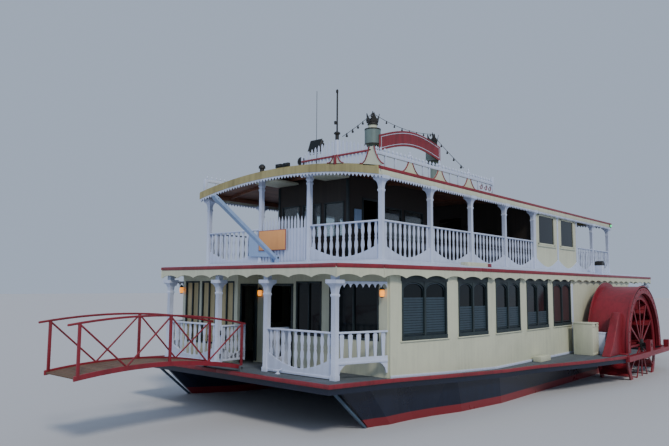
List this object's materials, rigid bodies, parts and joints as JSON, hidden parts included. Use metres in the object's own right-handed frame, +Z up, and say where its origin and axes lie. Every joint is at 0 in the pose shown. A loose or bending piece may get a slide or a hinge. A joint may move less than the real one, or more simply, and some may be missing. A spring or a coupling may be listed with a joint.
{
  "type": "paddle steamer",
  "caption": "Twin-hulled side-wheel excursion steamer with two decks, railed verandas, cambered roof, crowned funnels and a bow gangway.",
  "frame": {"origin": "centre of the bounding box at the level of the hulls' flat bottoms", "axes": "+X towards the bow, +Y to port, +Z up"},
  "size_m": [26.54, 11.96, 10.4],
  "materials": {
    "hull_paint": "gloss navy marine paint",
    "red_paint": "gloss dark red paint",
    "cream_paint": "satin cream paint",
    "white_paint": "satin white paint",
    "roof_paint": "weathered cream paint",
    "timber": "oiled hardwood",
    "deck_paint": "matt non-slip deck paint",
    "dark_metal": "black paint",
    "machine_grey": "machine enamel",
    "funnel_paint": "satin grey-green paint"
  },
  "bodies": {
    "body": {"hull_port": "hull_paint", "hull_starboard": "hull_paint", "main_deck": "deck_paint", "rub_rail_port": "red_paint", "rub_rail_starboard": "red_paint", "rub_rail_stern": "red_paint", "guard_beam_port": "red_paint", "guard_beam_starboard": "red_paint", "wheel_cover_port": "red_paint", "wheel_cover_starboard": "red_paint", "cabin_side_port": "cream_paint", "cabin_side_starboard": "cream_paint", "cabin_front": "cream_paint", "cabin_aft": "cream_paint", "engine": "machine_grey", "upper_deck": "cream_paint", "bow_screen_port": "white_paint", "bow_screen_starboard": "white_paint", "roof": "roof_paint", "upper_front_rail_port": "white_paint", "upper_front_rail_starboard": "white_paint", "picket_gate": "white_paint", "bow_board": "red_paint", "upper_side_rail_port": "white_paint", "upper_side_rail_starboard": "white_paint", "lounge_side_port": "cream_paint", "lounge_side_starboard": "cream_paint", "lounge_fore": "cream_paint", "lounge_aft": "cream_paint", "wheelhouse": "timber", "upper_aft_rail_port": "white_paint", "upper_aft_rail_starboard": "white_paint", "roof_fence_front": "white_paint", "roof_fence_port": "white_paint", "roof_fence_starboard": "white_paint", "mast": "white_paint", "antenna": "white_paint", "funnel_fore": "funnel_paint", "funnel_aft": "funnel_paint", "sign_band": "red_paint", "roof_vent": "dark_metal", "flood_lamps": "dark_metal", "round_lamp": "dark_metal", "searchlight": "dark_metal", "deck_locker_fore": "cream_paint", "deck_locker_aft": "white_paint", "aft_rail_port": "white_paint", "aft_rail_starboard": "white_paint", "stair": "timber"},
    "wheel_port": {"paddle_wheel_port": "red_paint"},
    "wheel_starboard": {"paddle_wheel_starboard": "red_paint"},
    "rudder_port": {"rudder_port": "dark_metal"},
    "rudder_starboard": {"rudder_starboard": "dark_metal"},
    "gangway": {"gangway": "red_paint"},
    "gate_port": {"bow_gate_port": "white_paint"},
    "gate_starboard": {"bow_gate_starboard": "white_paint"},
    "boom": {"boom": "white_paint"}
  },
  "joints": [
    {"name": "paddle_port", "type": "hinge", "parent": "body", "child": "wheel_port", "pos_m": [-5.85, 5.1, 2.08], "axis": [0, 1, 0], "continuous": true},
    {"name": "paddle_starboard", "type": "hinge", "parent": "body", "child": "wheel_starboard", "pos_m": [-5.85, -5.1, 2.08], "axis": [0, 1, 0], "continuous": true},
    {"name": "steer_port", "type": "hinge", "parent": "body", "child": "rudder_port", "pos_m": [-13.08, 3.2, 0.8], "axis": [0, 0, 1], "range_deg": [-35, 35]},
    {"name": "steer_starboard", "type": "hinge", "parent": "body", "child": "rudder_starboard", "pos_m": [-13.08, -3.2, 0.8], "axis": [0, 0, 1], "range_deg": [-35, 35]},
    {"name": "gangway_lift", "type": "hinge", "parent": "body", "child": "gangway", "pos_m": [9.03, 0, 2.19], "axis": [0, -1, 0], "range_deg": [-8, 20]},
    {"name": "gate_port_swing", "type": "hinge", "parent": "body", "child": "gate_port", "pos_m": [8.43, 0.85, 2.6], "axis": [0, 0, 1], "range_deg": [0, 90]},
    {"name": "gate_starboard_swing", "type": "hinge", "parent": "body", "child": "gate_starboard", "pos_m": [8.43, -0.85, 2.6], "axis": [0, 0, 1], "range_deg": [-90, 0]},
    {"name": "boom_lift", "type": "hinge", "parent": "body", "child": "boom", "pos_m": [7.32, 0, 4.89], "axis": [0, -1, 0], "range_deg": [-25, 20]}
  ],
  "couplings": [
    {"joint": "steer_starboard", "follows": "steer_port", "ratio": 1}
  ]
}
